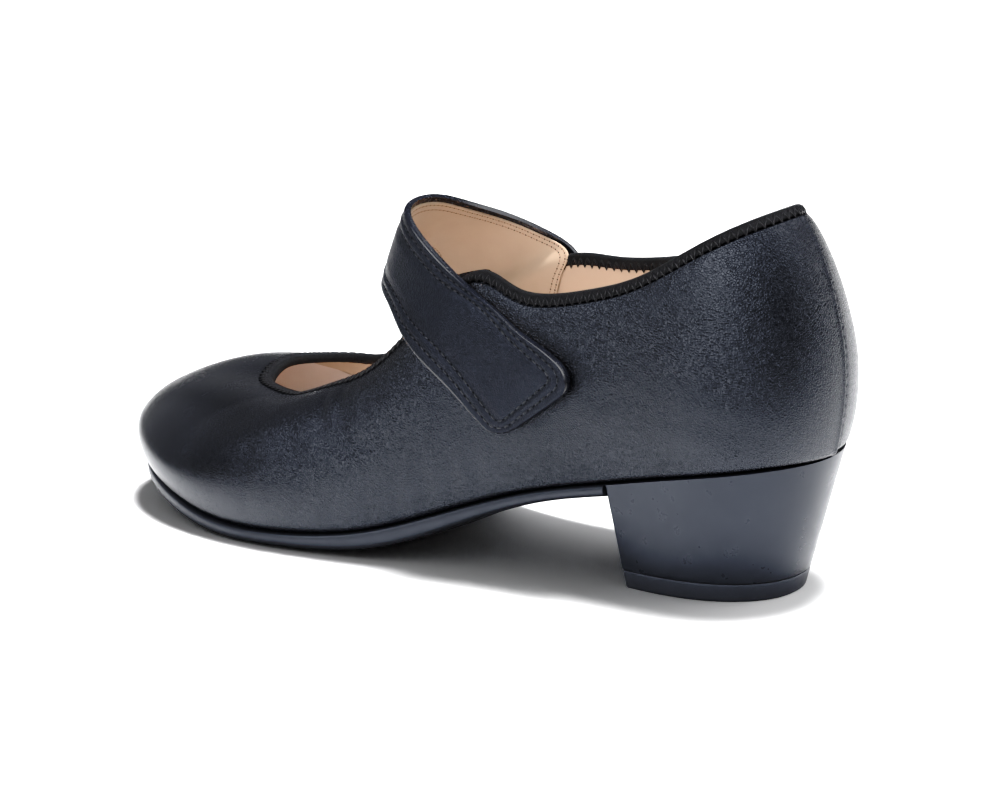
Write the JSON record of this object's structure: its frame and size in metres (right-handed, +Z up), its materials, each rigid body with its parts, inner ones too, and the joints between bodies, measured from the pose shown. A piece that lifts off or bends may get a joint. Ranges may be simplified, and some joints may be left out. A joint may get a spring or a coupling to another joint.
{
  "type": "block heel pump",
  "caption": "Closed round-toe pump with a bound oval throat, an instep strap with a rounded tab, a thin shaped sole and a tapered block heel with a top lift.",
  "frame": {"origin": "centre of the overall box in plan, on the floor that heel and forefoot stand on", "axes": "+Z up, -Y towards the toe, +Y towards the heel, +X towards the outer side of the left foot"},
  "size_m": [0.0872, 0.2586, 0.1111],
  "materials": {
    "upper_leather": "smooth black leather with a fine grain and a soft sheen",
    "binding_tape": "matt woven black tape",
    "strap_leather": "matter navy-black leather, beige inside",
    "insole_lining": "pale beige lining leather",
    "sole_rubber": "black with a satin edge",
    "heel_cover": "satin grey-black lacquer",
    "lift_rubber": "matt black"
  },
  "bodies": {
    "root": {"upper": "upper_leather", "binding": "binding_tape", "strap": "strap_leather", "insole": "insole_lining", "outsole": "sole_rubber", "heel_block": "heel_cover", "top_lift": "lift_rubber"}
  },
  "joints": []
}
